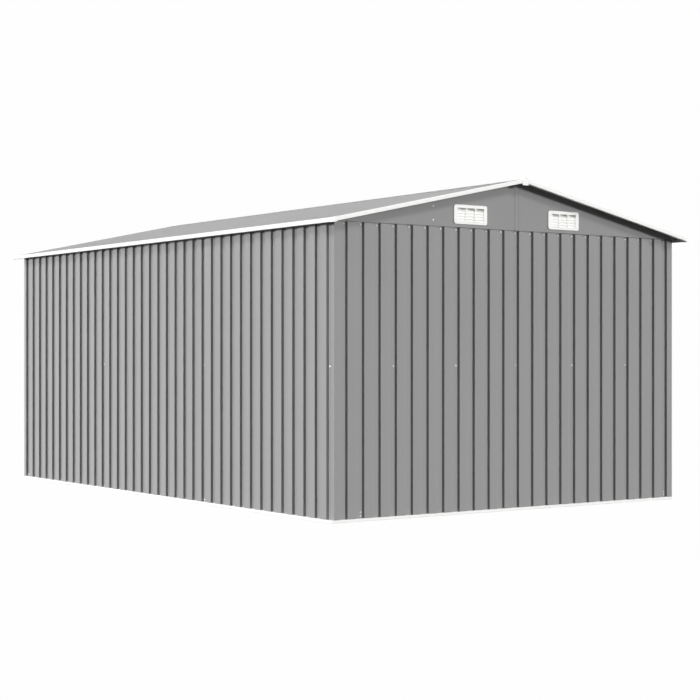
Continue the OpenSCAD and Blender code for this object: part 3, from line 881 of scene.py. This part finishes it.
class SHED_OT_door(bpy.types.Operator):
    """Builds the door frame, the two ribbed leaves and their pull handles"""

    bl_idname = "shed.door"
    bl_label = "Double door"

    def execute(self, context):
        s, d = context.scene.shed_walls, context.scene.shed_door
        back = s.depth + s.sheet
        place = turned(on_gable)

        def upright(u, v, w):
            return place(w, u, v)

        a, b = low("door_frame"), high("door_frame")
        first, last, foot, head = HALF_W - b[0], HALF_W - a[0], a[2], b[2] - d.track
        shapes = []
        for begin in (first, last - d.jamb):
            line = rounded([[begin, back], [begin, 0], [begin + d.jamb, 0], [begin + d.jamb, back]],
                           s.bend, 1, s.rail)
            shapes.append(carried(line, s.rail, [foot, head], place))
        line = rounded([[back, head], [0, head], [0, b[2]], [back, b[2]]], s.bend, -1, s.rail)
        shapes.append(carried(line, -s.rail, [first, last], upright))
        make_piece("folded_door_frame", shapes, "white_trim", ["door_frame"])

        for side in ("right", "left"):
            node = f"door_leaf_{side}"
            a, b = low(node), high(node)
            begin, width = HALF_W - b[0], b[0] - a[0]
            valley = valley_width(s)
            ribs = math.floor((width - 2 * s.end_face - valley) / s.pitch)
            face = (width - ribs * s.pitch - valley) / 2
            h = s.flank / 2
            line = [[0, d.depth], [0, 0]]
            for j in range(ribs + 1):
                u = face + j * s.pitch
                line += [[u - h, 0], [u + h, d.depth], [u + valley - h, d.depth], [u + valley + h, 0]]
            line += [[width, 0], [width, d.depth]]
            line = rounded(np.array(line) + [begin, d.inset], s.bend, 1, s.sheet)
            make_piece("ribbed_" + node, [carried(line, s.sheet, [a[2], b[2]], place)],
                       "grey_wall_sheet", [node])
            centre = begin + (width - d.handle_inset if side == "right" else d.handle_inset)
            stand = b[1] - HALF_L + d.inset
            z, half = d.handle_z, d.handle_width / 2
            bar = rounded([[d.inset, z], [d.inset - stand, z + stand],
                           [d.inset - stand, z + d.handle - stand], [d.inset, z + d.handle]],
                          d.handle_bend, 1, d.handle_bar, steps=6)
            shape = carried(bar, d.handle_bar, [centre - half, centre + half], upright)
            make_piece(f"pull_handle_{side}", [shape], "white_trim", crease=40)
        return {"FINISHED"}


# ---- Screws ----


def screw_shapes(places, axis, head, washer, height, s, sides=10):
    """Pan-head screws on sealing washers: one profile turned about each screw's axis, where the
    radius and the height follow the washer's edge, its top, the head's side up to half its height,
    and its crown, which is 0.55 as wide at 0.9 of its height and ends in a small flat."""
    top = s.washer_top
    tip = 0.0001
    profile = np.array([[washer, 0], [washer, s.washer_edge], [head, top], [head, top + height * 0.5],
                        [head * 0.55, top + height * 0.9], [tip, top + height]])
    axis = np.asarray(axis, float)
    across = np.cross(axis, [0, 1.0, 0] if abs(axis[1]) < 0.5 else [1.0, 0, 0])
    across /= np.linalg.norm(across)
    up = np.cross(axis, across)
    angle = np.arange(sides) * 2 * np.pi / sides
    ring = np.cos(angle)[:, None] * across + np.sin(angle)[:, None] * up
    one = profile[:, None, :1] * ring[None] + profile[:, None, 1:] * axis
    n = len(profile)
    number = np.arange(n * sides).reshape(n, sides)
    beside = np.roll(number, -1, 1)
    faces = np.stack([number[:-1], beside[:-1], beside[1:], number[1:]], -1).reshape(-1, 4)
    half = np.arange(sides // 2)
    base = np.stack([half[:-1], half[1:], sides - 1 - half[1:], sides - 1 - half[:-1]], 1)
    faces = np.concatenate([faces, base[:, ::-1], base + (n - 1) * sides])
    places = np.asarray(places, float).reshape(-1, 3)
    verts = (places[:, None, None, :] + one[None]).reshape(-1, 3)
    return verts, (faces[None] + np.arange(len(places))[:, None, None] * n * sides).reshape(-1, 4)


class SHED_OT_screws(bpy.types.Operator):
    """Sets the screws that hold the sheets to the rails, and the ground anchors"""

    bl_idname = "shed.screws"
    bl_label = "Screws"

    def execute(self, context):
        s, w, r = context.scene.shed_screws, context.scene.shed_walls, context.scene.shed_roof
        size = (s.head, s.washer, s.height, s)
        valley = valley_width(w)
        upper, lower = WALL_TOP - s.edge, WALL_LOW + s.edge
        door = [HALF_W - high("door_frame")[0], HALF_W - low("door_frame")[0]]

        def valleys(first, length):
            """Where a screw sits in the valley before each rib."""
            return np.arange(first, length - w.end_face, w.pitch) - s.side

        gable = valleys(first_gable_rib(w), 2 * HALF_W)
        laps = gable[s.lap_first::s.lap_every]
        shapes = []
        for place, axis, gap in ((on_gable, (0, -1, 0), (0, 0)), (turned(on_gable), (0, 1, 0), door)):
            spots = [place(u, w.depth, upper) for u in gable if not gap[0] < u < gap[1]]
            spots += [place(u, w.depth, z) for u in (gable[1], gable[-1]) for z in (lower, lower + s.pair)]
            spots += [place(u, w.depth, s.middle) for u in laps if not gap[0] < u < gap[1]]
            shapes.append(screw_shapes(spots, axis, *size))
            panel = [place(s.panel, 0, z) for z in (WALL_TOP + s.panel_low, WALL_TOP + s.panel_high)]
            shapes.append(screw_shapes(panel, axis, *size))
        make_piece("gable_screws", shapes, "zinc_steel", finish="screw", crease=40)

        shapes = []
        side = valleys(valley, 2 * HALF_L)
        for place, axis in ((on_left, (-1, 0, 0)), (turned(on_left), (1, 0, 0))):
            ends = [high(f"left_wall_sheet_{k}")[1] + HALF_L + valley / 2 - s.side for k in (1, 2, 3)]
            spots = [place(u, w.depth, s.middle) for u in [side[0]] + ends]
            spots += [place(u, w.depth, lower) for u in ends]
            shapes.append(screw_shapes(spots, axis, *size))
        make_piece("side_screws", shapes, "zinc_steel", finish="screw", crease=40)

        slope = r.pitch
        foot_x = ROOF_HALF_W - r.trim
        shapes = []
        for sign in (1, -1):
            axis = np.array([-sign * math.sin(slope), 0, math.cos(slope)])
            spots = []
            for along in (s.roof_low, s.roof_middle, s.roof_high):
                x = foot_x - along * math.cos(slope)
                spots += [(-sign * x, y + w.pitch / 2, rib_top(x, slope) - r.depth / math.cos(slope))
                          for y in roof_rib_middles(r, w)[:-1]]
            shapes.append(screw_shapes(spots, axis, *size))
        make_piece("roof_screws", shapes, "zinc_steel", finish="screw", crease=40)

        spots = [(x, y, w.rail) for x in (-s.anchor_x, s.anchor_x)
                 for y in (s.anchor_inset - HALF_L, HALF_L - s.anchor_inset)]
        shape = screw_shapes(spots, (0, 0, 1), s.anchor_head, s.anchor_washer, s.anchor_height, s, sides=12)
        make_piece("ground_anchors", [shape], "zinc_steel", finish="screw", crease=40)
        return {"FINISHED"}


# ---- Stage ----


def add_sun(name, azimuth, elevation, strength, angle):
    """A soft far lamp. The azimuth turns from -Y towards +X, and the elevation is over the ground."""
    light = bpy.data.lights.new(name, "SUN")
    light.energy = strength
    light.angle = math.radians(angle)
    lamp = bpy.data.objects.new(name, light)
    lamp.rotation_euler = (math.radians(90 - elevation), 0, math.radians(azimuth))
    bpy.context.scene.collection.objects.link(lamp)
    return lamp


def add_card(name, azimuth, distance, width, height, radiance):
    """A large white card beside the shed, which only shows in its surfaces' sheen. It reaches under
    the floor, as its mirror image in a pale floor would. A lamp of that radiance needs a power of
    radiance * pi * area."""
    light = bpy.data.lights.new(name, "AREA")
    light.shape = "RECTANGLE"
    light.size, light.size_y = width, height
    light.energy = radiance * math.pi * width * height
    lamp = bpy.data.objects.new(name, light)
    a = math.radians(azimuth)
    lamp.location = (distance * math.sin(a), -distance * math.cos(a), (WALL_LOW + WALL_TOP) / 2)
    lamp.rotation_euler = (math.radians(90), 0, a)
    lamp.visible_camera = lamp.visible_diffuse = False
    bpy.context.scene.collection.objects.link(lamp)


class SHED_OT_stage(bpy.types.Operator):
    """Sets the floor, the lights and the camera"""

    bl_idname = "shed.stage"
    bl_label = "Stage"

    def execute(self, context):
        scene = context.scene
        s = scene.shed_stage
        scene.view_settings.view_transform = "Standard"
        floor_mesh = bpy.data.meshes.new("floor")
        size = s.floor
        white = (1, 1, 1, 1)
        floor_mesh.from_pydata([(-size, -size, 0), (size, -size, 0), (size, size, 0), (-size, size, 0)],
                               [], [(0, 1, 2, 3)])
        floor = bpy.data.objects.new("floor", floor_mesh)
        scene.collection.objects.link(floor)
        material, tree, shader = new_material("pale_floor")
        shader.inputs["Base Color"].default_value = (0, 0, 0, 1)
        shader.inputs["Specular IOR Level"].default_value = 0
        shader.inputs["Emission Color"].default_value = white
        shader.inputs["Emission Strength"].default_value = s.paper
        floor_mesh.materials.append(material)
        floor.visible_diffuse = False
        floor.visible_glossy = False
        floor.visible_shadow = False

        world = bpy.data.worlds.new("studio")
        scene.world = world
        world.use_nodes = True
        tree = world.node_tree
        tree.nodes.clear()
        output = add(tree, "ShaderNodeOutputWorld")
        direction = add(tree, "ShaderNodeTexCoord").outputs["Generated"]
        up = add(tree, "ShaderNodeSeparateXYZ", {}, {}, {"Vector": direction}).outputs["Z"]
        dome = add(tree, "ShaderNodeMapRange", {},
                   {"From Min": -0.3, "From Max": 0.3, "To Min": 0.05, "To Max": 0.11}, {"Value": up})
        path = add(tree, "ShaderNodeLightPath").outputs
        seen = add(tree, "ShaderNodeMath", {"operation": "MAXIMUM"}, {},
                   {0: path["Is Camera Ray"], 1: path["Is Glossy Ray"]}).outputs["Value"]
        ambient = add(tree, "ShaderNodeBackground", {}, {"Color": white},
                      {"Strength": dome.outputs["Result"]}).outputs[0]
        paper = add(tree, "ShaderNodeBackground", {}, {"Color": white, "Strength": s.paper}).outputs[0]
        mix = add(tree, "ShaderNodeMixShader", {}, {}, {"Fac": seen, 1: ambient, 2: paper})
        tree.links.new(mix.outputs[0], output.inputs["Surface"])

        gable = add_sun("gable_light", azimuth=20, elevation=7, strength=2.25, angle=8)
        add_sun("front_light", azimuth=8, elevation=32, strength=1.02, angle=13)
        add_sun("side_light", azimuth=-103, elevation=8, strength=2.7, angle=8)
        add_sun("eave_light", azimuth=-92, elevation=45, strength=1.6, angle=16)
        add_card("side_card", azimuth=-160, distance=12, width=8, height=8, radiance=0.55)
        back = add_sun("back_light", azimuth=140, elevation=20, strength=2.0, angle=20)
        gable.visible_glossy = back.visible_glossy = False

        camera_data = bpy.data.cameras.new("camera")
        camera_data.sensor_width = 36
        camera_data.lens = s.lens
        camera_data.shift_x, camera_data.shift_y = s.shift
        camera = bpy.data.objects.new("camera", camera_data)
        camera.location = s.place
        camera.rotation_euler = (math.radians(90), 0, -s.turn)
        scene.collection.objects.link(camera)
        scene.camera = camera
        return {"FINISHED"}


class SHED_PT_panel(bpy.types.Panel):
    """Lists the shed's builders and settings in the sidebar"""

    bl_idname = "SHED_PT_panel"
    bl_label = "Storage shed"
    bl_space_type = "VIEW_3D"
    bl_region_type = "UI"
    bl_category = "Shed"

    def draw(self, context):
        for operator in OPERATORS:
            self.layout.operator(operator.bl_idname)
        for name in SETTINGS:
            group = getattr(context.scene, name)
            box = self.layout.box()
            for key in group.bl_rna.properties.keys():
                if key not in ("rna_type", "name"):
                    box.prop(group, key)


SETTINGS = {"shed_walls": WallSettings, "shed_roof": RoofSettings, "shed_vents": VentSettings,
            "shed_door": DoorSettings, "shed_screws": ScrewSettings, "shed_finish": FinishSettings,
            "shed_stage": StageSettings}
OPERATORS = (SHED_OT_wall_sheets, SHED_OT_base_rails, SHED_OT_gable_panels, SHED_OT_vents,
             SHED_OT_roof_sheets, SHED_OT_roof_trims, SHED_OT_caps, SHED_OT_beams, SHED_OT_door,
             SHED_OT_screws, SHED_OT_stage)


def register():
    """Adds the settings, the builders and the panel."""
    for group in SETTINGS.values():
        bpy.utils.register_class(group)
    for operator in OPERATORS:
        bpy.utils.register_class(operator)
    bpy.utils.register_class(SHED_PT_panel)
    for name, group in SETTINGS.items():
        setattr(bpy.types.Scene, name, bpy.props.PointerProperty(type=group))


def unregister():
    """Takes them away again."""
    for name in SETTINGS:
        delattr(bpy.types.Scene, name)
    bpy.utils.unregister_class(SHED_PT_panel)
    for operator in reversed(OPERATORS):
        bpy.utils.unregister_class(operator)
    for group in reversed(SETTINGS.values()):
        bpy.utils.unregister_class(group)


def main():
    """Builds the shed and its stage."""
    register()
    make_materials()
    for operator in OPERATORS:
        group, name = operator.bl_idname.split(".")
        getattr(getattr(bpy.ops, group), name)()


if __name__ == "__main__":
    main()
